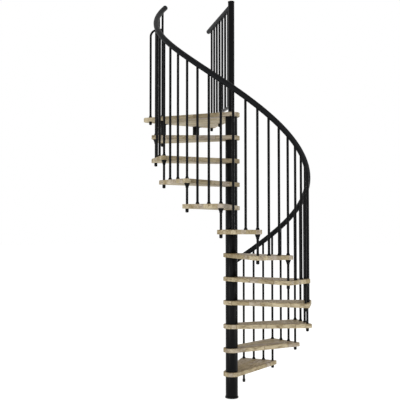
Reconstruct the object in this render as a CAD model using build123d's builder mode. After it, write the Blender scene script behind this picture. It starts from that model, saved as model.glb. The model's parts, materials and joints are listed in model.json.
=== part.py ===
"""Spiral staircase kit, steel and solid wood: eleven treads and a landing on spacer sleeves
around one centre pole, rising clockwise, with a helical handrail and a guard on the landing.

The origin is the middle of the base flange's underside on the floor. +Z is up and +Y points
from the lowest tread's leading corner towards the back. Bearings are degrees clockwise from
+Y, seen from above, which is also the way the flight climbs."""

from build123d import *
import os
from math import cos, radians, sin

# Rise and turn of the flight
first_riser = 241.0
riser = 220.0
tread_count = 11
turn_per_tread = 25.3
gaps_per_tread = 3
first_baluster_bearing = 10.1

# Treads
tread_thickness = 38.0
tread_overhang = 20.0
tread_width = 380.0
tread_corner_radius = 18.0
eye_radius = 78.0

# Column
pole_diameter = 60.0
pole_wall = 4.0
newel_above_rail = 34.0
pole_cap_height = 12.0
pole_cap_overhang = 1.5
pole_cap_chamfer = 4.0
sleeve_diameter = 114.0
sleeve_wall = 4.0
flange_diameter = 124.0
flange_thickness = 20.0
flange_chamfer = 5.0
anchor_circle = 84.0
anchor_hole_diameter = 11.0
anchor_count = 4

# Balusters and their fittings
baluster_circle_radius = 710.0
baluster_diameter = 22.0
collar_diameter = 48.0
collar_lip_diameter = 28.0
collar_height = 30.0
end_cap_diameter = 29.0
end_cap_height = 34.0
end_cap_chamfer = 7.0

# Handrail along the flight
rail_diameter = 50.0
rail_flat_count = 24
rail_height = 1054.0
rail_start_bearing = 1.0
rail_end_bearing = 293.0
rail_plug_length = 14.0
rail_plug_chamfer = 9.0

# Landing
landing_outer_margin = 24.0
landing_outer_bearing = 290.8
landing_outer_radius = 60.0
landing_far_radius = 32.0

# Guard on the landing
guard_bearing = 344.8
guard_first_distance = 115.0
guard_overhang = 75.0
guard_baluster_count = 7
guard_gap_count_per_post = 3
guard_rail_diameter = 48.0
guard_rail_height = 1018.0
guard_rail_overhang = 135.0
guard_bar_width = 34.0
guard_bar_thickness = 15.0
guard_bar_height = 75.0

# End post that closes the handrail's top
end_post_outset = 128.0
end_post_height = 865.0
end_post_bend = 60.0

# Brackets that fix the landing to the upper floor
bracket_spacing = 398.0
bracket_width = 76.0
bracket_drop = 125.0
bracket_leg = 50.0
bracket_thickness = 6.0
bracket_hole_diameter = 9.0
bracket_hole_spacing = 70.0

# Clearance left round anything that slides over or into something else
slip = 0.3

# Sizes that follow from the ones above
pole_radius = pole_diameter / 2
sleeve_radius = sleeve_diameter / 2
baluster_radius = baluster_diameter / 2
rail_radius = rail_diameter / 2
guard_rail_radius = guard_rail_diameter / 2
landing_number = tread_count + 1
last_baluster = tread_count * gaps_per_tread
baluster_turn = turn_per_tread / gaps_per_tread
rail_pitch = riser * 360 / turn_per_tread
rail_slope = riser / (radians(turn_per_tread) * baluster_circle_radius)
tread_length = baluster_circle_radius + tread_overhang
end_post_distance = baluster_circle_radius + end_post_outset
landing_outer_distance = end_post_distance + landing_outer_margin
guard_last_distance = baluster_circle_radius + guard_overhang
guard_rail_length = guard_last_distance + guard_rail_overhang

os.makedirs("parts", exist_ok=True)


def finish(piece, name):
    """Label a finished piece and write it under its name."""
    piece.part.label = name
    export_step(piece.part, f"parts/{name}.step")


def tread_top(number):
    """Height of the walking surface of a tread, counting the landing as the last one."""
    return first_riser + (number - 1) * riser


def underside(number):
    return tread_top(number) - tread_thickness


def baluster_bearing(index):
    return first_baluster_bearing + index * baluster_turn


def plan_point(distance, bearing, height=0.0):
    """Point at a distance from the column's axis, on a bearing."""
    return (distance * sin(radians(bearing)), distance * cos(radians(bearing)), height)


def outward_plane(bearing, height):
    """Level plane on the axis whose X points out along a bearing."""
    return Plane(origin=(0, 0, height), x_dir=plan_point(1, bearing), z_dir=(0, 0, 1))


def rail_centre(bearing):
    """Height of the handrail's centre line, parallel to the line of the treads' corners."""
    climbed = riser * (bearing - first_baluster_bearing) / turn_per_tread
    return first_riser + rail_height + climbed


def rail_plane(bearing):
    """Plane square to the handrail, with its Z along the climb."""
    along = Vector(cos(radians(bearing)), -sin(radians(bearing)), rail_slope)
    centre = plan_point(baluster_circle_radius, bearing, rail_centre(bearing))
    return Plane(origin=centre, z_dir=along)


# Base flange, with anchor holes that the lowest sleeve hides
with BuildPart() as base_flange:
    Cylinder(flange_diameter / 2, flange_thickness, align=(Align.CENTER, Align.CENTER, Align.MIN))
    with PolarLocations(anchor_circle / 2, anchor_count):
        Hole(anchor_hole_diameter / 2)
    rim = base_flange.edges().filter_by(GeomType.CIRCLE).sort_by(SortBy.RADIUS)[-2:]
    chamfer(rim.sort_by(Axis.Z)[-1], flange_chamfer)
finish(base_flange, "base_flange")

# Centre pole, which shows above the landing as the newel
pole_top = tread_top(landing_number) + guard_rail_height + newel_above_rail
with BuildPart() as centre_pole:
    with BuildSketch(Plane.XY.offset(flange_thickness)):
        Circle(pole_radius)
        Circle(pole_radius - pole_wall, mode=Mode.SUBTRACT)
    extrude(amount=pole_top - flange_thickness)
finish(centre_pole, "centre_pole")

with BuildPart(Plane.XY.offset(pole_top)) as pole_cap:
    Cylinder(
        pole_radius + pole_cap_overhang,
        pole_cap_height,
        align=(Align.CENTER, Align.CENTER, Align.MIN),
    )
    chamfer(pole_cap.edges().sort_by(Axis.Z)[-1], pole_cap_chamfer)
finish(pole_cap, "pole_cap")

# Spacer sleeves that carry the treads one above another
with BuildPart() as spacer_sleeves:
    for number in range(1, landing_number + 1):
        foot_level = flange_thickness if number == 1 else tread_top(number - 1)
        with BuildSketch(Plane.XY.offset(foot_level)):
            Circle(sleeve_radius)
            Circle(sleeve_radius - sleeve_wall, mode=Mode.SUBTRACT)
        extrude(amount=underside(number) - foot_level)
finish(spacer_sleeves, "spacer_sleeves")

# Treads: a round eye on the pole that widens to a straight outer end
for number in range(1, tread_count + 1):
    middle = baluster_bearing((number - 0.5) * gaps_per_tread)
    tread_plane = outward_plane(middle, underside(number))
    with BuildPart(tread_plane) as tread:
        with BuildSketch(tread_plane):
            Circle(eye_radius)
            corner_side = tread_width / 2 - tread_corner_radius
            corner_out = tread_length - tread_corner_radius
            with Locations((corner_out, corner_side), (corner_out, -corner_side)):
                Circle(tread_corner_radius)
            make_hull()
        extrude(amount=tread_thickness)
        Hole(pole_radius + slip)
        with PolarLocations(
            baluster_circle_radius,
            2,
            start_angle=-turn_per_tread / 2,
            angular_range=turn_per_tread,
            endpoint=True,
        ):
            Hole(baluster_radius + slip)
    finish(tread, f"tread_{number:02d}")

# Landing: a three-cornered platform whose far edge meets the upper floor
guard_step = (guard_last_distance - guard_first_distance) / (guard_baluster_count - 1)
guard_distances = [guard_first_distance + n * guard_step for n in range(guard_baluster_count)]
guard_posts = guard_distances[guard_gap_count_per_post::guard_gap_count_per_post]
landing_holes = [
    plan_point(baluster_circle_radius, baluster_bearing(last_baluster)),
    plan_point(end_post_distance, baluster_bearing(last_baluster)),
    *[plan_point(distance, guard_bearing) for distance in guard_posts],
]
landing_plane = Plane.XY.offset(underside(landing_number))
with BuildPart(landing_plane) as landing:
    with BuildSketch(landing_plane):
        Circle(eye_radius)
        with Locations(plan_point(landing_outer_distance, landing_outer_bearing)):
            Circle(landing_outer_radius)
        with Locations(plan_point(guard_last_distance, guard_bearing)):
            Circle(landing_far_radius)
        make_hull()
    extrude(amount=tread_thickness)
    Hole(pole_radius + slip)
    with Locations(*landing_holes):
        Hole(baluster_radius + slip)
finish(landing, "landing")

# Balusters of the flight. The first on each tread runs on down through its leading corner
# into the tread below, the others stand on it, and all are coped to the handrail's underside.
for number in range(1, landing_number + 1):
    first = (number - 1) * gaps_per_tread
    count = gaps_per_tread if number <= tread_count else 1
    with BuildPart() as balusters:
        for index in range(first, first + count):
            bearing = baluster_bearing(index)
            if index > first:
                bottom = tread_top(number)
            elif number > 1:
                bottom = underside(number - 1)
            else:
                bottom = end_cap_height
            with Locations(plan_point(baluster_circle_radius, bearing, bottom)):
                Cylinder(
                    baluster_radius,
                    rail_centre(bearing) - bottom,
                    align=(Align.CENTER, Align.CENTER, Align.MIN),
                )
            with Locations(rail_plane(bearing)):
                Cylinder(rail_radius + slip, 2 * rail_diameter, mode=Mode.SUBTRACT)
    name = f"tread_{number:02d}_balusters" if number <= tread_count else "landing_baluster"
    finish(balusters, name)

# Conical collars under the treads, round the balusters that pass through
with BuildPart() as collar:
    Cone(
        collar_lip_diameter / 2,
        collar_diameter / 2,
        collar_height,
        align=(Align.CENTER, Align.CENTER, Align.MAX),
    )
    Hole(baluster_radius + slip)
with BuildPart() as baluster_collars:
    for number in range(1, landing_number + 1):
        bearing = baluster_bearing((number - 1) * gaps_per_tread)
        with Locations(plan_point(baluster_circle_radius, bearing, underside(number))):
            add(collar.part)
finish(baluster_collars, "baluster_collars")

# Caps that close the lower ends of the through balusters and posts
with BuildPart() as end_cap:
    Cylinder(end_cap_diameter / 2, end_cap_height, align=(Align.CENTER, Align.CENTER, Align.MAX))
    chamfer(end_cap.edges().sort_by(Axis.Z)[0], end_cap_chamfer)
cap_places = [plan_point(baluster_circle_radius, baluster_bearing(0), end_cap_height)]
for number in range(1, tread_count + 1):
    bearing = baluster_bearing(number * gaps_per_tread)
    cap_places.append(plan_point(baluster_circle_radius, bearing, underside(number)))
for x, y, level in landing_holes[1:]:
    cap_places.append((x, y, underside(landing_number)))
with BuildPart() as baluster_end_caps:
    with Locations(*cap_places):
        add(end_cap.part)
finish(baluster_end_caps, "baluster_end_caps")

# Helical handrail over the balusters, with flats so narrow that it reads as round, and a
# chamfered plug in each end
rail_rise = rail_centre(rail_end_bearing) - rail_centre(rail_start_bearing)
with BuildPart() as handrail:
    start = outward_plane(rail_start_bearing, rail_centre(rail_start_bearing))
    with BuildLine(start) as rail_line:
        Helix(rail_pitch, rail_rise, baluster_circle_radius, lefthand=True)
    with BuildSketch(rail_plane(rail_start_bearing)):
        RegularPolygon(rail_radius, rail_flat_count)
    sweep(path=rail_line.line, is_frenet=True)
finish(handrail, "handrail")

with BuildPart() as rail_plug:
    Cylinder(rail_radius, rail_plug_length, align=(Align.CENTER, Align.CENTER, Align.MIN))
    chamfer(rail_plug.edges().sort_by(Axis.Z)[-1], rail_plug_chamfer)
rail_foot = rail_plane(rail_start_bearing)
with BuildPart() as handrail_plugs:
    with Locations(
        Plane(origin=rail_foot.origin, z_dir=-rail_foot.z_dir), rail_plane(rail_end_bearing)
    ):
        add(rail_plug.part)
finish(handrail_plugs, "handrail_plugs")

# Guard rail of the landing, from the newel to a round end past its last post
guard_level = tread_top(landing_number) + guard_rail_height
guard_direction = plan_point(1, guard_bearing)
guard_axis = Plane(origin=(0, 0, guard_level), z_dir=guard_direction)
with BuildPart() as landing_rail:
    with Locations(guard_axis):
        Cylinder(
            guard_rail_radius, guard_rail_length, align=(Align.CENTER, Align.CENTER, Align.MIN)
        )
    with Locations(plan_point(guard_rail_length, guard_bearing, guard_level)):
        Sphere(guard_rail_radius)
    with Locations((0, 0, guard_level)):
        Cylinder(pole_radius + slip, 2 * guard_rail_diameter, mode=Mode.SUBTRACT)
finish(landing_rail, "landing_rail")

# Lower bar of the guard, pierced by the two posts
bar_top = tread_top(landing_number) + guard_bar_height
bar_length = guard_last_distance + guard_bar_width / 2
with BuildPart(outward_plane(guard_bearing, bar_top)) as landing_lower_bar:
    Box(
        bar_length,
        guard_bar_width,
        guard_bar_thickness,
        align=(Align.MIN, Align.CENTER, Align.MAX),
    )
    Hole(pole_radius + slip)
    with Locations(*[(distance, 0) for distance in guard_posts]):
        Hole(baluster_radius + slip)
finish(landing_lower_bar, "landing_lower_bar")

# Guard balusters: two are posts that pass through the landing, the rest stand on the bar
with BuildPart() as landing_guard_balusters:
    for distance in guard_distances:
        bottom = underside(landing_number) if distance in guard_posts else bar_top
        with Locations(plan_point(distance, guard_bearing, bottom)):
            Cylinder(
                baluster_radius,
                guard_level - bottom,
                align=(Align.CENTER, Align.CENTER, Align.MIN),
            )
    with Locations(guard_axis):
        Cylinder(
            guard_rail_radius + slip,
            guard_rail_length,
            align=(Align.CENTER, Align.CENTER, Align.MIN),
            mode=Mode.SUBTRACT,
        )
finish(landing_guard_balusters, "landing_guard_balusters")

# Bent end post outside the last baluster, turned in to meet it under the handrail
post_bearing = baluster_bearing(last_baluster)
post_level = tread_top(landing_number) + end_post_height
post_plane = Plane(
    origin=plan_point(0, post_bearing),
    x_dir=plan_point(1, post_bearing),
    z_dir=(-cos(radians(post_bearing)), sin(radians(post_bearing)), 0),
)
with BuildPart() as end_post:
    with BuildLine(post_plane) as post_line:
        FilletPolyline(
            (end_post_distance, -underside(landing_number)),
            (end_post_distance, -post_level),
            (baluster_circle_radius, -post_level),
            radius=end_post_bend,
        )
    with BuildSketch(Plane(origin=post_line.line @ 0, z_dir=post_line.line % 0)):
        Circle(baluster_radius)
    sweep(path=post_line.line)
    with Locations(plan_point(baluster_circle_radius, post_bearing, post_level)):
        Cylinder(baluster_radius + slip, 2 * end_post_bend, mode=Mode.SUBTRACT)
finish(end_post, "end_post")

# Angle brackets under the landing's far edge
far_side = landing.faces().filter_by(Axis.Z, reverse=True).filter_by(GeomType.PLANE)
far_face = far_side.sort_by_distance((0, 0, underside(landing_number)))[-1]
outward = far_face.normal_at()
edge_level = underside(landing_number)
edge_middle = Vector(far_face.center().X, far_face.center().Y, edge_level)
edge_direction = outward.cross(Vector(0, 0, 1))
for side, name in ((-1, "floor_bracket_near_post"), (1, "floor_bracket_near_guard")):
    seat = edge_middle + edge_direction * (side * bracket_spacing / 2)
    plate_middle = seat - Vector(0, 0, (bracket_thickness + bracket_drop) / 2)
    profile = Plane(origin=seat, x_dir=-outward, z_dir=edge_direction)
    with BuildPart() as bracket:
        with BuildSketch(profile):
            with BuildLine():
                Polyline(
                    (0, 0),
                    (bracket_leg, 0),
                    (bracket_leg, bracket_thickness),
                    (bracket_thickness, bracket_thickness),
                    (bracket_thickness, bracket_drop),
                    (0, bracket_drop),
                    close=True,
                )
            make_face()
        extrude(amount=bracket_width / 2, both=True)
        with Locations(Plane(origin=plate_middle, x_dir=(0, 0, 1), z_dir=outward)):
            with GridLocations(bracket_hole_spacing, 0, 2, 1):
                Hole(bracket_hole_diameter / 2)
    finish(bracket, name)
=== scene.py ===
import json
from math import atan2, cos, hypot, pi, radians, sin, tau

import bmesh
import bpy
import numpy as np
from bpy.props import FloatProperty, FloatVectorProperty, IntProperty, PointerProperty
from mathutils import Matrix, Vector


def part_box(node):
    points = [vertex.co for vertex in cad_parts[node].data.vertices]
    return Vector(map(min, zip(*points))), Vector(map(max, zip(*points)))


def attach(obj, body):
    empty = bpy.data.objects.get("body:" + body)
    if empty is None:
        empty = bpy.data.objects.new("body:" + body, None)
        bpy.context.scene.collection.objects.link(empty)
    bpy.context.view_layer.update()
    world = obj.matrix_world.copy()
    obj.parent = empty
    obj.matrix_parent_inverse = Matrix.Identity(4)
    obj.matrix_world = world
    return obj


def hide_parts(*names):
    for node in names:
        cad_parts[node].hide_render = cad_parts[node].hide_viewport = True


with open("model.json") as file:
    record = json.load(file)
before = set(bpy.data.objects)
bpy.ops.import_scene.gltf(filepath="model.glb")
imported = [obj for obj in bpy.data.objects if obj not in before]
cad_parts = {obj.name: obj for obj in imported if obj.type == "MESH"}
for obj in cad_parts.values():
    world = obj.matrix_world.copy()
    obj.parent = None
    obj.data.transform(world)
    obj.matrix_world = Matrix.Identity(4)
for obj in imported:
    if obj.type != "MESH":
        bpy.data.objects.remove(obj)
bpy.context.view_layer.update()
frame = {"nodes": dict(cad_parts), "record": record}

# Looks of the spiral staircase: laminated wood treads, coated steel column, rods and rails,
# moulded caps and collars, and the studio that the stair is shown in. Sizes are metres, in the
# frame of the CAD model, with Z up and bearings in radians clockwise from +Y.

bl_info = {
    "name": "Spiral staircase looks",
    "version": (1, 0, 0),
    "blender": (4, 5, 0),
    "location": "3D View > Sidebar > Stair",
    "description": "Builds the finished surfaces of a kit spiral staircase around its CAD model",
    "category": "Object",
}

TREADS = sorted(n for n in frame["nodes"] if n.startswith("tread_") and n.count("_") == 1)
GAPS_PER_TREAD = 3
LANDING = len(TREADS) + 1
WOOD_SLOT = "laminated_hardwood"
STEEL_SLOT = "black_steel"
RAIL_SLOT = "charcoal_rail"
CAP_SLOT = "black_caps"
X_AXIS = np.array((1.0, 0.0, 0.0))
Y_AXIS = np.array((0.0, 1.0, 0.0))
Z_AXIS = np.array((0.0, 0.0, 1.0))


def low(node):
    """Lowest corner of a CAD node."""
    return np.array(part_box(node)[0])


def high(node):
    """Highest corner of a CAD node."""
    return np.array(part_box(node)[1])


# Sizes that the CAD model gives
LAST_ROD = (low("landing_baluster") + high("landing_baluster")) / 2
ROD_CIRCLE = hypot(LAST_ROD[0], LAST_ROD[1])
LAST_BEARING = atan2(LAST_ROD[0], LAST_ROD[1]) % tau
ROD_RADIUS = (high("landing_baluster") - low("landing_baluster"))[0] / 2
FIRST_TOP = high("tread_01")[2]
RISER = high("tread_02")[2] - FIRST_TOP
THICKNESS = FIRST_TOP - low("tread_01")[2]
LANDING_TOP = high("landing")[2]
POLE_RADIUS = high("centre_pole")[0]
POLE_TOP = high("centre_pole")[2]
SLEEVE_RADIUS = high("spacer_sleeves")[0]
FLANGE_RADIUS = high("base_flange")[0]
FLANGE_TOP = high("base_flange")[2]

# Bores that slip over the pole and the balusters
EYE_BORE = POLE_RADIUS + 0.0003
ROD_BORE = ROD_RADIUS + 0.0002


class StairSizes(bpy.types.PropertyGroup):
    """Sizes that the surfaces are worked out from, beside those that the CAD model gives."""

    turn_per_tread: FloatProperty(
        name="Turn per tread", description="Angle from one tread to the next",
        default=radians(25.3), subtype="ANGLE")
    eye_radius: FloatProperty(
        name="Eye radius", description="Radius of a tread's round inner end",
        default=0.078, unit="LENGTH")
    tread_length: FloatProperty(
        name="Tread length", description="From the column's axis to a tread's outer end",
        default=ROD_CIRCLE + 0.020, unit="LENGTH")
    tread_width: FloatProperty(
        name="Tread width", description="Width of a tread at its outer end",
        default=0.38, unit="LENGTH")
    tread_corner: FloatProperty(
        name="Tread corner radius", description="Radius of a tread's two outer corners in plan",
        default=0.018, unit="LENGTH")
    wood_edge: FloatProperty(
        name="Wood edge rounding", description="Radius of the rounded edges of the wood",
        default=0.0035, unit="LENGTH")
    rail_radius: FloatProperty(
        name="Handrail radius", description="Radius of the handrail's section",
        default=0.025, unit="LENGTH")
    rail_start: FloatProperty(
        name="Handrail start", description="Bearing of the handrail's lower end",
        default=radians(1.0), subtype="ANGLE")
    rail_end: FloatProperty(
        name="Handrail end", description="Bearing of the handrail's upper end",
        default=radians(293.0), subtype="ANGLE")
    plug_length: FloatProperty(
        name="Plug length", description="How far a handrail plug stands out of the rail",
        default=0.014, unit="LENGTH")
    cap_radius: FloatProperty(
        name="End cap radius", description="Radius of the caps under the treads",
        default=0.0145, unit="LENGTH")
    cap_height: FloatProperty(
        name="End cap height", description="Height of the caps under the treads",
        default=0.034, unit="LENGTH")
    collar_radius: FloatProperty(
        name="Collar radius", description="Radius of a collar where it meets the tread above it",
        default=0.024, unit="LENGTH")
    collar_lip: FloatProperty(
        name="Collar lip radius", description="Radius of a collar's lower lip",
        default=0.014, unit="LENGTH")
    collar_height: FloatProperty(
        name="Collar height", description="Height of a collar",
        default=0.040, unit="LENGTH")
    foot_radius: FloatProperty(
        name="Foot radius", description="Radius of the trim cone at a baluster's foot",
        default=0.0165, unit="LENGTH")
    foot_height: FloatProperty(
        name="Foot height", description="Height of the trim cone at a baluster's foot",
        default=0.017, unit="LENGTH")
    guard_bearing: FloatProperty(
        name="Guard bearing", description="Bearing that the landing's guard runs along",
        default=radians(344.8), subtype="ANGLE")
    guard_first: FloatProperty(
        name="First guard baluster", description="Distance of the first from the column's axis",
        default=0.115, unit="LENGTH")
    guard_last: FloatProperty(
        name="Last guard baluster", description="Distance of the last from the column's axis",
        default=ROD_CIRCLE + 0.075, unit="LENGTH")
    guard_count: IntProperty(
        name="Guard balusters", description="How many balusters the landing's guard has",
        default=7)
    guard_rail_radius: FloatProperty(
        name="Guard rail radius", description="Radius of the landing rail's section",
        default=0.024, unit="LENGTH")
    guard_rail_length: FloatProperty(
        name="Guard rail length", description="From the column's axis to the round end's centre",
        default=ROD_CIRCLE + 0.21, unit="LENGTH")
    end_post_outset: FloatProperty(
        name="End post outset", description="How far the end post stands outside the balusters",
        default=0.128, unit="LENGTH")
    end_post_bend: FloatProperty(
        name="End post bend", description="Bend radius of the end post's centre line",
        default=0.060, unit="LENGTH")
    landing_outer_bearing: FloatProperty(
        name="Landing corner bearing", description="Bearing of the landing's outer corner",
        default=radians(290.8), subtype="ANGLE")
    landing_outer_margin: FloatProperty(
        name="Landing corner margin", description="Outer corner's centre beyond the end post",
        default=0.024, unit="LENGTH")
    landing_outer_radius: FloatProperty(
        name="Landing corner radius", description="Radius of the landing's outer corner",
        default=0.060, unit="LENGTH")
    landing_far_radius: FloatProperty(
        name="Landing far radius", description="Radius of the landing's far corner",
        default=0.032, unit="LENGTH")


class StairColours(bpy.types.PropertyGroup):
    """Colours of the finishes, as linear values."""

    wood_light: FloatVectorProperty(
        name="Light wood", description="Palest staves", size=3, subtype="COLOR",
        default=(0.57, 0.47, 0.31))
    wood_mid: FloatVectorProperty(
        name="Mid wood", description="Most of the staves", size=3, subtype="COLOR",
        default=(0.34, 0.265, 0.150))
    wood_rosy: FloatVectorProperty(
        name="Rosy wood", description="Greyer, rosier staves among the others", size=3,
        subtype="COLOR", default=(0.44, 0.37, 0.31))
    wood_dark: FloatVectorProperty(
        name="Dark wood", description="Brown figure in the staves", size=3, subtype="COLOR",
        default=(0.16, 0.107, 0.050))
    steel: FloatVectorProperty(
        name="Steel coat", description="Black powder coat", size=3, subtype="COLOR",
        default=(0.0022, 0.0022, 0.0024))
    rail: FloatVectorProperty(
        name="Rail coat", description="Charcoal coat of both rails", size=3, subtype="COLOR",
        default=(0.0070, 0.0072, 0.0076))
    plastic: FloatVectorProperty(
        name="Moulded plastic", description="Caps, collars and plugs", size=3, subtype="COLOR",
        default=(0.0022, 0.0022, 0.0024))


def sizes():
    return bpy.context.scene.stair_sizes


def colours():
    return bpy.context.scene.stair_colours


# Where things are

def tread_top(number):
    """Height of a tread's top, counting the landing as the one after the last."""
    return FIRST_TOP + (number - 1) * RISER


def underside(number):
    return tread_top(number) - THICKNESS


def rod_bearing(index):
    """Bearing of a baluster, counted back from the one on the landing."""
    last = len(TREADS) * GAPS_PER_TREAD
    return LAST_BEARING - (last - index) * sizes().turn_per_tread / GAPS_PER_TREAD


def outward(bearing):
    """Level unit vector along a bearing."""
    return np.array((sin(bearing), cos(bearing), 0.0))


def at(distance, bearing, height=0.0):
    """Point at a distance from the column's axis, on a bearing."""
    return distance * outward(bearing) + height * Z_AXIS


def rail_slope():
    """Rise of the handrail for each metre along its circle in plan."""
    return RISER / (sizes().turn_per_tread * ROD_CIRCLE)


def rail_height(bearing):
    """Height of the handrail's centre line: the top of the CAD rail, less what it climbs from
    this bearing to its end."""
    run = (sizes().rail_end - bearing) / sizes().turn_per_tread
    end = high("handrail")[2] - sizes().rail_radius / hypot(1, rail_slope())
    return end - RISER * run


# Surfaces

def eased(corners, ease, closed=False, steps=4):
    """Corners of a line rounded off: each becomes a quadratic curve that starts and ends at the
    distance ease from it, or nearer on a short side. The ends of an open line stay."""
    points = np.asarray(corners, float)
    to_last = np.roll(points, 1, 0) - points
    to_next = np.roll(points, -1, 0) - points
    reach_last = np.linalg.norm(to_last, axis=1, keepdims=True)
    reach_next = np.linalg.norm(to_next, axis=1, keepdims=True)
    start = points + to_last / reach_last * np.minimum(ease, 0.45 * reach_last)
    end = points + to_next / reach_next * np.minimum(ease, 0.45 * reach_next)
    t = np.linspace(0, 1, steps)[:, None]
    curve = (1 - t) ** 2 * start[:, None] + 2 * t * (1 - t) * points[:, None] + t ** 2 * end[:, None]
    if not closed:
        curve[0] = points[0]
        curve[-1] = points[-1]
    return curve.reshape(-1, points.shape[1])


def rings(centres, radii, side, other, segments):
    """Circles round a line of centres: centre + radius (cos a side + sin a other)."""
    angle = np.linspace(0, tau, segments, endpoint=False)
    spokes = (
        np.cos(angle)[:, None] * np.atleast_2d(side)[:, None]
        + np.sin(angle)[:, None] * np.atleast_2d(other)[:, None]
    )
    return centres[:, None] + np.asarray(radii)[:, None, None] * spokes


def lathe(profile, segments=48):
    """A profile of radius and height turned about the Z axis."""
    profile = np.asarray(profile, float)
    return rings(profile[:, 1:] * Z_AXIS, profile[:, 0], X_AXIS, Y_AXIS, segments)


def rod(foot, top):
    """An upright round rod on the column's axis, closed at both ends."""
    return lathe([(0, foot), (ROD_RADIUS, foot), (ROD_RADIUS, top), (0, top)], 32)


def copies(grid, places):
    """The same grid at several places."""
    return grid[None] + np.asarray(places, float)[:, None, None]


def plate(circles, hole, bottom, top, ease, around=216):
    """A flat plate with a round hole and rounded edges. Its outline is the taut line round the
    circles (x, y, radius): for each direction n it is the centre plus radius times n of the
    circle that reaches furthest along n. Across the thickness, the outline draws in by
    ease (1 - sin a) while it rises by ease cos a, and the faces run from there to the hole."""
    angle = np.linspace(0, tau, around, endpoint=False)
    normal = np.stack((np.cos(angle), np.sin(angle)), 1)
    circles = np.asarray(circles, float)
    furthest = (circles[:, :2] @ normal.T + circles[:, 2:]).argmax(0)
    centre = circles[furthest, :2]
    radius = circles[furthest, 2:]
    bend = np.linspace(0, pi / 2, 5)
    inset = np.concatenate((ease * (1 - np.sin(bend)), ease * (1 - np.cos(bend))))
    level = np.concatenate((
        top - ease * (1 - np.cos(bend)), bottom + ease * (1 - np.sin(bend))))
    edge = centre + (radius - inset[:, None, None]) * normal
    inward = np.array((1.0, 0.66, 0.33))[:, None, None]
    face = (1 - inward) * edge[:1] + inward * hole * normal
    plan = np.concatenate((face, edge, face[::-1]))
    level = np.concatenate((np.full(3, top), level, np.full(3, bottom)))
    height = np.broadcast_to(level[:, None, None], plan.shape[:2] + (1,))
    return np.concatenate((plan, height), 2)


def turned_plan(grid, bearing):
    """A grid whose X is turned to point along a bearing, with Z kept."""
    along = outward(bearing)
    return grid[..., :1] * along + grid[..., 1:2] * np.cross(Z_AXIS, along) + grid[..., 2:] * Z_AXIS


def quads(count, ring_count, around, closed):
    """Corner numbers of the faces of several grids, each closed round its rings, and also from
    its last ring to its first if closed."""
    ring = np.arange(ring_count if closed else ring_count - 1)[:, None]
    point = np.arange(around)[None]
    next_ring = (ring + 1) % ring_count * around
    next_point = (point + 1) % around
    face = np.stack((
        ring * around + point, ring * around + next_point,
        next_ring + next_point, next_ring + point), -1).reshape(-1, 4)
    start = np.arange(count)[:, None, None] * ring_count * around
    return (face[None] + start).reshape(-1, 4)


def build(name, grids, closed=False, grain=None, sharp=radians(40)):
    """Makes one mesh object of grids (copy, ring, point, xyz), merges the points that meet at
    poles, and turns its faces outwards. grain holds the wood's own coordinates, point by point."""
    weld = 2e-6
    grids = grids if grids.ndim == 4 else grids[None]
    faces = quads(*grids.shape[:3], closed)
    mesh = bpy.data.meshes.new(name)
    mesh.vertices.add(grids.size // 3)
    mesh.vertices.foreach_set("co", grids.astype(np.float32).ravel())
    mesh.loops.add(faces.size)
    mesh.loops.foreach_set("vertex_index", faces.astype(np.int32).ravel())
    mesh.polygons.add(len(faces))
    mesh.polygons.foreach_set("loop_start", np.arange(0, faces.size, 4, dtype=np.int32))
    mesh.update(calc_edges=True)
    if grain is not None:
        layer = mesh.attributes.new("grain", "FLOAT_VECTOR", "POINT")
        layer.data.foreach_set("vector", grain.astype(np.float32).ravel())
    work = bmesh.new()
    work.from_mesh(mesh)
    bmesh.ops.remove_doubles(work, verts=work.verts, dist=weld)
    bmesh.ops.recalc_face_normals(work, faces=work.faces)
    work.to_mesh(mesh)
    work.free()
    mesh.polygons.foreach_set("use_smooth", np.ones(len(mesh.polygons), bool))
    mesh.set_sharp_from_angle(angle=sharp)
    mesh.validate()
    piece = bpy.data.objects.new(name, mesh)
    bpy.context.scene.collection.objects.link(piece)
    return piece


def dress(piece, finish, slot, *nodes):
    """Gives a piece its finish and its place on the fixed body, and hides the CAD nodes it stands
    for.
    """
    piece.data.materials.append(finish)
    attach(piece, "root")
    if nodes:
        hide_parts(*nodes)


# Finishes

def node_adder(tree):
    """A function that adds a node to a tree, with its inputs set from values or linked from
    other nodes' outputs."""

    def add(kind, inputs=(), **settings):
        node = tree.nodes.new(kind)
        for key, value in settings.items():
            setattr(node, key, value)
        for key, value in dict(inputs).items():
            if isinstance(value, bpy.types.NodeSocket):
                tree.links.new(value, node.inputs[key])
            else:
                node.inputs[key].default_value = value
        return node

    return add


def new_finish(name):
    """A material, the Principled shader on its output, and the functions that add and link its
    nodes."""
    finish = bpy.data.materials.new(name)
    finish.use_nodes = True
    tree = finish.node_tree
    return finish, tree.nodes["Principled BSDF"], node_adder(tree), tree.links.new


def ranged(add, value, start=0.0, end=1.0, low_share=0.0, high_share=1.0):
    """A value between start and end, brought between the low and the high share."""
    return add("ShaderNodeMapRange", {
        "Value": value, "From Min": start, "From Max": end,
        "To Min": low_share, "To Max": high_share}).outputs["Result"]


def blended(add, share, under, over):
    """One colour laid over another by a share. The node has an output of the same name for
    numbers, so the colour is chosen by its type."""
    mix = add("ShaderNodeMix", {"Factor": share, "A": under, "B": over}, data_type="RGBA")
    return next(s for s in mix.outputs if s.type == "RGBA")


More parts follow.
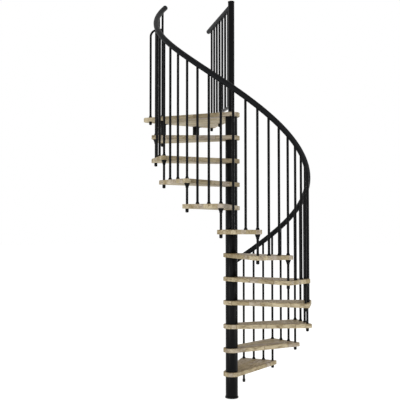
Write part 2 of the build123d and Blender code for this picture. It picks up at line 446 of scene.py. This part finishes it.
def coated(name, colour, roughness, gloss, grain_size, depth):
    """Coated or moulded surface: an even colour with slightly lighter and duller patches, and a
    fine orange-peel bump. Object coordinates carry both patterns."""
    if name in bpy.data.materials:
        return bpy.data.materials[name]
    finish, shader, add, link = new_finish(name)
    shader.inputs["Specular IOR Level"].default_value = gloss
    place = add("ShaderNodeTexCoord").outputs["Object"]
    peel = add("ShaderNodeTexNoise", {"Vector": place, "Scale": 1 / grain_size, "Detail": 3.0})
    patches = add("ShaderNodeTexNoise", {
        "Vector": place, "Scale": 6.0, "Detail": 1.0}).outputs["Fac"]
    dull = ranged(add, patches, 0.3, 0.7, roughness - 0.03, roughness + 0.05)
    darker = (*[c * 0.85 for c in colour], 1.0)
    lighter = (*[c * 1.2 for c in colour], 1.0)
    bump = add("ShaderNodeBump", {
        "Height": peel.outputs["Fac"], "Strength": 0.03, "Distance": depth})
    link(blended(add, patches, darker, lighter), shader.inputs["Base Color"])
    link(dull, shader.inputs["Roughness"])
    link(bump.outputs["Normal"], shader.inputs["Normal"])
    return finish


def steel_finish():
    return coated("black_powder_coat", colours().steel, roughness=0.30, gloss=0.09,
                  grain_size=0.0016, depth=0.00006)


def rail_finish():
    return coated("charcoal_rail_coat", colours().rail, roughness=0.46, gloss=0.065,
                  grain_size=0.0020, depth=0.00007)


def plastic_finish():
    return coated("moulded_black_plastic", colours().plastic, roughness=0.48, gloss=0.09,
                  grain_size=0.0007, depth=0.00003)


def wood_finish():
    """Laminated staves: rows of long bricks on the wood's own coordinates give each stave a
    tone, stretched noise gives figure and fibres along it, and a thin dark line parts them."""
    name = "laminated_staves"
    if name in bpy.data.materials:
        return bpy.data.materials[name]
    stave_length = 0.31
    stave_width = 0.043
    joint_width = 0.0006
    finish, shader, add, link = new_finish(name)
    light, middle, rosy, dark = (
        (*colour, 1) for colour in (colours().wood_light, colours().wood_mid,
                                    colours().wood_rosy, colours().wood_dark))
    shader.inputs["Specular IOR Level"].default_value = 0.02
    grain = add("ShaderNodeAttribute", attribute_name="grain").outputs["Vector"]
    staves = add("ShaderNodeTexBrick", {
        "Vector": grain, "Color1": (0, 0, 0, 1), "Color2": (1, 1, 1, 1),
        "Mortar": (0.5, 0.5, 0.5, 1), "Scale": 1.0, "Mortar Size": joint_width,
        "Mortar Smooth": 0.2, "Brick Width": stave_length, "Row Height": stave_width},
        offset=0.37, offset_frequency=2)
    shift = add("ShaderNodeVectorMath", {0: staves.outputs["Color"], 1: (3.1, 7.7, 5.3)},
                operation="MULTIPLY").outputs["Vector"]
    own = add("ShaderNodeVectorMath", {0: grain, 1: shift}, operation="ADD").outputs["Vector"]

    def stretched(along, across, detail, warp):
        """Noise that runs along each stave, in waves for each metre along and across it."""
        scaled = add("ShaderNodeMapping", {"Vector": own, "Scale": (along, across, across)})
        return add("ShaderNodeTexNoise", {
            "Vector": scaled.outputs["Vector"], "Scale": 1.0, "Detail": detail,
            "Distortion": warp}).outputs["Fac"]

    figure = stretched(along=11.0, across=48.0, detail=4.0, warp=1.1)
    fibre = stretched(along=25.0, across=700.0, detail=3.0, warp=0.1)
    blotch = stretched(along=9.0, across=26.0, detail=3.0, warp=0.6)
    stave_tone = ranged(add, staves.outputs["Color"])
    draw = add("ShaderNodeTexWhiteNoise", {"W": stave_tone}, noise_dimensions="1D")
    colour = blended(add, stave_tone, light, middle)
    colour = blended(add, ranged(add, draw.outputs["Value"], start=0.45, high_share=0.85),
                     colour, rosy)
    colour = blended(add, ranged(add, figure, 0.47, 0.68, high_share=0.70), colour, dark)
    colour = blended(add, ranged(add, blotch, 0.5, 0.68, high_share=0.50), colour, dark)
    colour = blended(add, ranged(add, fibre, 0.4, 0.8, high_share=0.25), colour, dark)
    joint = add("ShaderNodeMath", {0: staves.outputs["Fac"], 1: 0.7}, operation="MULTIPLY")
    colour = blended(add, joint.outputs["Value"], colour, dark)
    dull = ranged(add, figure, 0.3, 0.7, 0.50, 0.62)
    relief = add("ShaderNodeMath", {0: fibre, 1: staves.outputs["Fac"]}, operation="SUBTRACT")
    bump = add("ShaderNodeBump", {
        "Height": relief.outputs["Value"], "Strength": 0.3, "Distance": 0.0003})
    link(colour, shader.inputs["Base Color"])
    link(dull, shader.inputs["Roughness"])
    link(bump.outputs["Normal"], shader.inputs["Normal"])
    return finish


class STAIR_OT_treads(bpy.types.Operator):
    """Build the wooden treads with rounded edges and laminated staves"""

    bl_idname = "stair.treads"
    bl_label = "Treads"

    def execute(self, context):
        size = sizes()
        side = size.tread_width / 2 - size.tread_corner
        out = size.tread_length - size.tread_corner
        circles = ((0, 0, size.eye_radius), (out, side, size.tread_corner),
                   (out, -side, size.tread_corner))
        grain_step = np.array((0.731, 0.2137, 0.0))
        for number, node in enumerate(TREADS, 1):
            grid = plate(circles, EYE_BORE, underside(number), tread_top(number), size.wood_edge)
            middle = rod_bearing((number - 0.5) * GAPS_PER_TREAD)
            own = grid + number * grain_step
            piece = build(f"{node}_wood", turned_plan(grid, middle), closed=True, grain=own)
            dress(piece, wood_finish(), WOOD_SLOT, node)
        return {"FINISHED"}


class STAIR_OT_landing(bpy.types.Operator):
    """Build the three-cornered landing at the top of the flight"""

    bl_idname = "stair.landing"
    bl_label = "Landing"

    def execute(self, context):
        size = sizes()
        outer = at(ROD_CIRCLE + size.end_post_outset + size.landing_outer_margin,
                   size.landing_outer_bearing)
        far = at(size.guard_last, size.guard_bearing)
        circles = ((0, 0, size.eye_radius), (*outer[:2], size.landing_outer_radius),
                   (*far[:2], size.landing_far_radius))
        grid = plate(circles, EYE_BORE, LANDING_TOP - THICKNESS, LANDING_TOP, size.wood_edge)
        along = outward(size.landing_outer_bearing)
        across = np.cross(Z_AXIS, along)
        grain_start = np.array((9.2, 4.1, 0))
        own = np.stack((grid @ along, grid @ across, grid[..., 2]), -1) + grain_start
        piece = build("landing_wood", grid, closed=True, grain=own)
        dress(piece, wood_finish(), WOOD_SLOT, "landing")
        return {"FINISHED"}


class STAIR_OT_column(bpy.types.Operator):
    """Build the base flange, the spacer sleeves, the pole and its cap"""

    bl_idname = "stair.column"
    bl_label = "Column"

    def execute(self, context):
        bore = POLE_RADIUS + 0.001
        inside = SLEEVE_RADIUS - 0.004
        soft = 0.0012
        flange_soft = 0.003
        cap_soft = 0.005
        slant = FLANGE_RADIUS - SLEEVE_RADIUS
        flange = eased([
            (bore, 0), (FLANGE_RADIUS, 0), (FLANGE_RADIUS, FLANGE_TOP - slant),
            (SLEEVE_RADIUS, FLANGE_TOP), (bore, FLANGE_TOP)], flange_soft, closed=True)
        dress(build("base_flange_steel", lathe(flange, 96), closed=True),
              steel_finish(), STEEL_SLOT, "base_flange")
        sleeves = []
        for number in range(1, LANDING + 1):
            foot = FLANGE_TOP if number == 1 else tread_top(number - 1)
            top = underside(number)
            wall = [(inside, foot), (SLEEVE_RADIUS, foot), (SLEEVE_RADIUS, top), (inside, top)]
            sleeves.append(lathe(eased(wall, soft, closed=True), 96))
        dress(build("spacer_sleeves_steel", np.array(sleeves), closed=True),
              steel_finish(), STEEL_SLOT, "spacer_sleeves")
        pole = [(0, FLANGE_TOP), (POLE_RADIUS, FLANGE_TOP), (POLE_RADIUS, POLE_TOP), (0, POLE_TOP)]
        dress(build("centre_pole_steel", lathe(eased(pole, soft), 72)),
              steel_finish(), STEEL_SLOT, "centre_pole")
        cap_radius = high("pole_cap")[0]
        cap_top = high("pole_cap")[2]
        cap = [(0, POLE_TOP), (cap_radius, POLE_TOP), (cap_radius, cap_top), (0, cap_top)]
        dress(build("pole_cap_plastic", lathe(eased(cap, cap_soft, steps=6), 72)),
              plastic_finish(), CAP_SLOT, "pole_cap")
        return {"FINISHED"}


class STAIR_OT_balusters(bpy.types.Operator):
    """Build the round balusters, three to a tread, up into the handrail"""

    bl_idname = "stair.balusters"
    bl_label = "Balusters"

    def execute(self, context):
        size = sizes()
        for number in range(1, LANDING + 1):
            first = (number - 1) * GAPS_PER_TREAD
            on_landing = number == LANDING
            rods = []
            for index in range(first, first + (1 if on_landing else GAPS_PER_TREAD)):
                bearing = rod_bearing(index)
                foot = tread_top(number)
                if index == first:
                    foot = underside(number - 1) if number > 1 else size.cap_height
                top = rail_height(bearing) - size.rail_radius / 2
                rods.append(rod(foot, top) + at(ROD_CIRCLE, bearing))
            node = "landing_baluster" if on_landing else f"tread_{number:02d}_balusters"
            dress(build(f"{node}_steel", np.array(rods)), steel_finish(), STEEL_SLOT, node)
        return {"FINISHED"}


class STAIR_OT_fittings(bpy.types.Operator):
    """Build the collars, the end caps and the trim cones at the balusters' feet"""

    bl_idname = "stair.fittings"
    bl_label = "Fittings"

    def execute(self, context):
        size = sizes()
        rim = 0.004
        collar_soft = 0.002
        cap_soft = 0.005
        foot_soft = 0.0015
        neck = size.collar_height * 0.75
        collar = eased([
            (ROD_BORE, 0), (size.collar_radius, 0), (size.collar_radius, -rim),
            (size.collar_lip, -neck), (size.collar_lip, -size.collar_height),
            (ROD_BORE, -size.collar_height)], collar_soft, closed=True)
        places = [at(ROD_CIRCLE, rod_bearing((n - 1) * GAPS_PER_TREAD), underside(n))
                  for n in range(1, LANDING + 1)]
        dress(build("baluster_collars_plastic", copies(lathe(collar, 40), places), closed=True),
              plastic_finish(), CAP_SLOT, "baluster_collars")
        shoulder = size.cap_height * 0.84
        tip_radius = size.cap_radius * 0.6
        cap = eased([
            (0, 0), (size.cap_radius, 0), (size.cap_radius, -shoulder),
            (tip_radius, -size.cap_height), (0, -size.cap_height)], cap_soft, steps=6)
        places = [at(ROD_CIRCLE, rod_bearing(0), size.cap_height)]
        places += [at(ROD_CIRCLE, rod_bearing(n * GAPS_PER_TREAD), underside(n))
                   for n in range(1, LANDING)]
        places += [at(ROD_CIRCLE + size.end_post_outset, LAST_BEARING, underside(LANDING))]
        places += [at(distance, size.guard_bearing, underside(LANDING))
                   for distance in guard_posts()]
        dress(build("baluster_end_caps_plastic", copies(lathe(cap, 40), places)),
              plastic_finish(), CAP_SLOT, "baluster_end_caps")
        band = size.foot_height * 0.3
        lip = ROD_BORE + 0.0015
        foot = eased([
            (ROD_BORE, 0), (size.foot_radius, 0), (size.foot_radius, band),
            (lip, size.foot_height), (ROD_BORE, size.foot_height)], foot_soft, closed=True)
        places = [at(ROD_CIRCLE, rod_bearing(index), tread_top(index // GAPS_PER_TREAD + 1))
                  for index in range(len(TREADS) * GAPS_PER_TREAD)]
        places += [at(ROD_CIRCLE, LAST_BEARING, LANDING_TOP),
                   at(ROD_CIRCLE + size.end_post_outset, LAST_BEARING, LANDING_TOP)]
        places += [at(distance, size.guard_bearing, LANDING_TOP) for distance in guard_posts()]
        dress(build("baluster_feet_plastic", copies(lathe(foot, 40), places), closed=True),
              plastic_finish(), CAP_SLOT)
        return {"FINISHED"}


def guard_distances():
    """Distances of the guard's balusters from the column's axis."""
    return np.linspace(sizes().guard_first, sizes().guard_last, sizes().guard_count)


def guard_posts():
    """Distances of the two that pass through the landing."""
    return guard_distances()[GAPS_PER_TREAD::GAPS_PER_TREAD]


class STAIR_OT_handrail(bpy.types.Operator):
    """Build the helical handrail and the plug in each end"""

    bl_idname = "stair.handrail"
    bl_label = "Handrail"

    def execute(self, context):
        size = sizes()
        stations = 420
        bearing = np.linspace(size.rail_start, size.rail_end, stations)
        radial = np.stack((np.sin(bearing), np.cos(bearing), np.zeros_like(bearing)), 1)
        centre = ROD_CIRCLE * radial + rail_height(bearing)[:, None] * Z_AXIS
        along = np.stack((
            np.cos(bearing), -np.sin(bearing), np.full_like(bearing, rail_slope())), 1)
        along /= np.linalg.norm(along, axis=1, keepdims=True)
        cross = np.cross(along, radial)
        pick = np.concatenate(([0], np.arange(stations), [-1]))
        radii = np.concatenate(([0], np.full(stations, size.rail_radius), [0]))
        tube = rings(centre[pick], radii, radial[pick], cross[pick], 40)
        dress(build("handrail_coated", tube), rail_finish(), RAIL_SLOT, "handrail")
        slant = 0.009
        soft = 0.004
        dome = eased([
            (0, 0), (size.rail_radius, 0), (size.rail_radius, size.plug_length - slant),
            (size.rail_radius - slant, size.plug_length), (0, size.plug_length)], soft, steps=6)
        plugs = []
        for end, way in ((0, -1), (-1, 1)):
            axis = way * along[end]
            plugs.append(rings(centre[end] + dome[:, 1:] * axis, dome[:, 0],
                               radial[end], np.cross(axis, radial[end]), 48))
        dress(build("handrail_plugs_plastic", np.array(plugs)),
              plastic_finish(), CAP_SLOT, "handrail_plugs")
        return {"FINISHED"}


class STAIR_OT_guard(bpy.types.Operator):
    """Build the landing's guard: rail, flat lower bar and balusters"""

    bl_idname = "stair.guard"
    bl_label = "Landing guard"

    def execute(self, context):
        size = sizes()
        along = outward(size.guard_bearing)
        across = np.cross(along, Z_AXIS)
        # Inside the pole, where the rail's and the bar's ends don't show
        root = POLE_RADIUS * 0.9
        radius = size.guard_rail_radius
        level = high("landing_rail")[2] - radius
        turn = np.linspace(0, pi / 2, 14)
        reach = np.concatenate(([root] * 2, size.guard_rail_length + radius * np.sin(turn)))
        radii = np.concatenate(([0, radius], radius * np.cos(turn)))
        rail = rings(reach[:, None] * along + level * Z_AXIS, radii, across, Z_AXIS, 56)
        dress(build("landing_rail_coated", rail), rail_finish(), RAIL_SLOT, "landing_rail")
        bar_low = low("landing_lower_bar")[2]
        bar_top = high("landing_lower_bar")[2]
        half = 0.017
        bar_soft = 0.002
        bar_end = size.guard_last + half
        section = eased([(-half, bar_low), (half, bar_low), (half, bar_top), (-half, bar_top)],
                        bar_soft, closed=True)
        reach = np.array((root, root, bar_end, bar_end))
        draw = np.array((0, 1, 1, 0))[:, None, None]
        middle = section.mean(0)
        outline = middle + draw * (section - middle)
        bar = reach[:, None, None] * along + outline[..., :1] * across + outline[..., 1:] * Z_AXIS
        dress(build("landing_lower_bar_steel", bar), steel_finish(), STEEL_SLOT,
              "landing_lower_bar")
        rods = []
        posts = guard_posts()
        for distance in guard_distances():
            foot = underside(LANDING) if distance in posts else bar_top
            rods.append(rod(foot, level - radius / 2) + at(distance, size.guard_bearing))
        dress(build("landing_guard_balusters_steel", np.array(rods)),
              steel_finish(), STEEL_SLOT, "landing_guard_balusters")
        return {"FINISHED"}


class STAIR_OT_end_post(bpy.types.Operator):
    """Build the bent end post that meets the last baluster under the handrail"""

    bl_idname = "stair.end_post"
    bl_label = "End post"

    def execute(self, context):
        size = sizes()
        foot = underside(LANDING)
        level = high("end_post")[2] - ROD_RADIUS
        bend = size.end_post_bend
        outer = ROD_CIRCLE + size.end_post_outset
        turn = np.linspace(0, pi / 2, 18)
        reach = np.concatenate(([outer] * 2, outer - bend * (1 - np.cos(turn)), [ROD_CIRCLE] * 2))
        height = np.concatenate(([foot] * 2, level - bend * (1 - np.sin(turn)), [level] * 2))
        lean = np.concatenate(([0, 0], turn, [pi / 2] * 2))
        radii = np.full(len(reach), ROD_RADIUS)
        radii[[0, -1]] = 0
        along = outward(LAST_BEARING)
        side = np.cos(lean)[:, None] * along + np.sin(lean)[:, None] * Z_AXIS
        tube = rings(reach[:, None] * along + height[:, None] * Z_AXIS, radii, side,
                     np.cross(along, Z_AXIS), 32)
        dress(build("end_post_steel", tube), steel_finish(), STEEL_SLOT, "end_post")
        return {"FINISHED"}


def bolt_head(radius, height, sides, place, axis):
    """Round head or washer with a soft rim, which stands on its seat along an axis. With six
    sides it is a hexagon."""
    soft = 0.0008
    side = np.cross(axis, Z_AXIS) if abs(axis[2]) < 0.5 else X_AXIS
    head = eased([(0, 0), (radius, 0), (radius, height), (0, height)], soft)
    return rings(place + head[:, 1:] * axis, head[:, 0], side, np.cross(axis, side), sides)


class STAIR_OT_brackets(bpy.types.Operator):
    """Finish the two floor brackets and add their bolts"""

    bl_idname = "stair.brackets"
    bl_label = "Brackets"

    def execute(self, context):
        for node in ("floor_bracket_near_post", "floor_bracket_near_guard"):
            bracket = frame["nodes"][node]
            bracket.data.materials.clear()
            bracket.data.materials.append(steel_finish())
        sheet = 0.006
        washer_radius = 0.010
        washer_height = 0.0016
        head_radius = 0.0078
        head_height = 0.0055
        screw_radius = 0.0052
        screw_height = 0.0028
        screw_setback = 0.032
        screw_offset = 0.022
        heads = []
        washers = []
        screws = []
        for mount in frame["record"]["mounts"]:
            if not mount["name"].startswith("bracket_bolts"):
                continue
            middle = np.array(mount["pos_m"])
            outwards = np.array(mount["axis"])
            edge = np.cross(outwards, Z_AXIS)
            bolt_offset = mount["dims"]["pcd_mm"] / 2000
            for step in (-bolt_offset, bolt_offset):
                seat = middle - sheet * outwards + step * Z_AXIS
                washers.append(bolt_head(washer_radius, washer_height, 40, seat, -outwards))
                seat = seat - washer_height * outwards
                heads.append(bolt_head(head_radius, head_height, 6, seat, -outwards))
            for step in (-screw_offset, screw_offset):
                seat = middle - screw_setback * outwards + step * edge
                seat[2] = LANDING_TOP - THICKNESS - sheet
                screws.append(bolt_head(screw_radius, screw_height, 32, seat, -Z_AXIS))
        for name, grids in (("bracket_bolt_heads", heads), ("bracket_washers", washers),
                            ("bracket_screws", screws)):
            dress(build(name, np.array(grids), sharp=radians(25)), steel_finish(), STEEL_SLOT)
        return {"FINISHED"}


class STAIR_OT_studio(bpy.types.Operator):
    """Set up the floor, the white surroundings, the lamps and the camera"""

    bl_idname = "stair.studio"
    bl_label = "Studio"

    def execute(self, context):
        self.floor()
        self.world(context)
        self.lamps()
        self.camera(context)
        return {"FINISHED"}

    def floor(self):
        """A wide disc that is white to the camera and keeps a soft shadow. What it throws back
        up at the stair is brighter and cooler than the lamps alone would give."""
        radii = (0, 0.8, 4, 60)
        white_share = 0.7
        white_strength = 1.32
        bounce_strength = 0.85
        disc = build("studio_floor", lathe([(radius, 0) for radius in radii], 64))
        finish, shader, add, link = new_finish("studio_white")
        shader.inputs["Base Color"].default_value = (0.9, 0.9, 0.9, 1)
        shader.inputs["Roughness"].default_value = 0.9
        shader.inputs["Specular IOR Level"].default_value = 0.0
        shader.inputs["Emission Color"].default_value = (0.74, 0.87, 1.0, 1)
        rays = add("ShaderNodeLightPath").outputs
        seen = add("ShaderNodeMath", {0: rays["Is Camera Ray"], 1: rays["Is Glossy Ray"]},
                   operation="MAXIMUM").outputs["Value"]
        share = add("ShaderNodeMath", {0: seen, 1: white_share}, operation="MULTIPLY")
        glow = add("ShaderNodeEmission", {"Color": (1, 1, 1, 1), "Strength": white_strength})
        bounce = ranged(add, seen, low_share=bounce_strength, high_share=0.0)
        link(bounce, shader.inputs["Emission Strength"])
        blend = add("ShaderNodeMixShader", {
            "Fac": share.outputs["Value"], 1: shader.outputs["BSDF"], 2: glow.outputs["Emission"]})
        link(blend.outputs["Shader"], finish.node_tree.nodes["Material Output"].inputs["Surface"])
        disc.data.materials.append(finish)

    def world(self, context):
        """White to the camera and in reflections, and a softer white as a light."""
        light_strength = 0.62
        world = bpy.data.worlds.new("studio_world")
        world.use_nodes = True
        context.scene.world = world
        tree = world.node_tree
        add = node_adder(tree)
        backdrop = tree.nodes["Background"]
        backdrop.inputs["Color"].default_value = (1, 1, 1, 1)
        rays = add("ShaderNodeLightPath").outputs
        seen = add("ShaderNodeMath", {0: rays["Is Camera Ray"], 1: rays["Is Transmission Ray"]},
                   operation="MAXIMUM").outputs["Value"]
        both = add("ShaderNodeMath", {0: seen, 1: rays["Is Glossy Ray"]},
                   operation="MAXIMUM").outputs["Value"]
        tree.links.new(ranged(add, both, low_share=light_strength), backdrop.inputs["Strength"])

    def lamps(self):
        """Four soft lamps: a faint tall strip behind the camera, a key low in front on the left,
        a fill low on the right and one behind the stair."""
        target = at(0, 0, 2.2)
        for name, place, power, width, height in (
            ("strip_lamp", (0.3, -7.7, 2.8), 45, 1.6, 5.2),
            ("key_lamp", (-3.6, -3.8, 0.5), 40, 2.6, 0.8),
            ("fill_lamp", (4.2, -1.6, 0.5), 25, 2.6, 0.8),
            ("back_lamp", (1.5, 5.5, 3.0), 60, 3.0, 3.0),
        ):
            lamp = bpy.data.lights.new(name, "AREA")
            lamp.shape = "RECTANGLE"
            lamp.size = width
            lamp.size_y = height
            lamp.energy = power
            holder = bpy.data.objects.new(name, lamp)
            bpy.context.scene.collection.objects.link(holder)
            holder.location = place
            facing = Vector(target) - holder.location
            holder.rotation_euler = facing.to_track_quat("-Z", "Y").to_euler()

    def camera(self, context):
        """The photograph's view: 727 pixels of focal length on a frame of 400, from 6.83 m in
        front of the column at 1.58 m, turned 2.5 degrees left and 2.2 degrees up."""
        frame_pixels = 400
        focal_pixels = 727.1
        lens = bpy.data.cameras.new("view")
        lens.sensor_width = 36
        lens.lens = lens.sensor_width * focal_pixels / frame_pixels
        holder = bpy.data.objects.new("view", lens)
        context.scene.collection.objects.link(holder)
        holder.location = (0, -6.833, 1.578)
        holder.rotation_euler = (radians(92.19), 0, radians(2.48))
        context.scene.camera = holder
        context.scene.view_settings.view_transform = "Standard"


STEPS = (
    STAIR_OT_treads, STAIR_OT_landing, STAIR_OT_column, STAIR_OT_balusters, STAIR_OT_fittings,
    STAIR_OT_handrail, STAIR_OT_guard, STAIR_OT_end_post, STAIR_OT_brackets, STAIR_OT_studio,
)


class STAIR_PT_panel(bpy.types.Panel):
    """Sidebar panel with one button for each group of pieces, and their sizes and colours"""

    bl_label = "Spiral staircase"
    bl_idname = "STAIR_PT_panel"
    bl_space_type = "VIEW_3D"
    bl_region_type = "UI"
    bl_category = "Stair"

    def draw(self, context):
        for step in STEPS:
            self.layout.operator(step.bl_idname)
        for group in (context.scene.stair_sizes, context.scene.stair_colours):
            column = self.layout.column()
            for name in group.bl_rna.properties.keys():
                if name not in ("rna_type", "name"):
                    column.prop(group, name)


CLASSES = (StairSizes, StairColours, *STEPS, STAIR_PT_panel)


def register():
    for item in CLASSES:
        bpy.utils.register_class(item)
    bpy.types.Scene.stair_sizes = PointerProperty(type=StairSizes)
    bpy.types.Scene.stair_colours = PointerProperty(type=StairColours)


def unregister():
    del bpy.types.Scene.stair_colours
    del bpy.types.Scene.stair_sizes
    for item in reversed(CLASSES):
        bpy.utils.unregister_class(item)


def main():
    register()
    for step in STEPS:
        group, name = step.bl_idname.split(".")
        getattr(getattr(bpy.ops, group), name)()


if __name__ == "__main__":
    main()
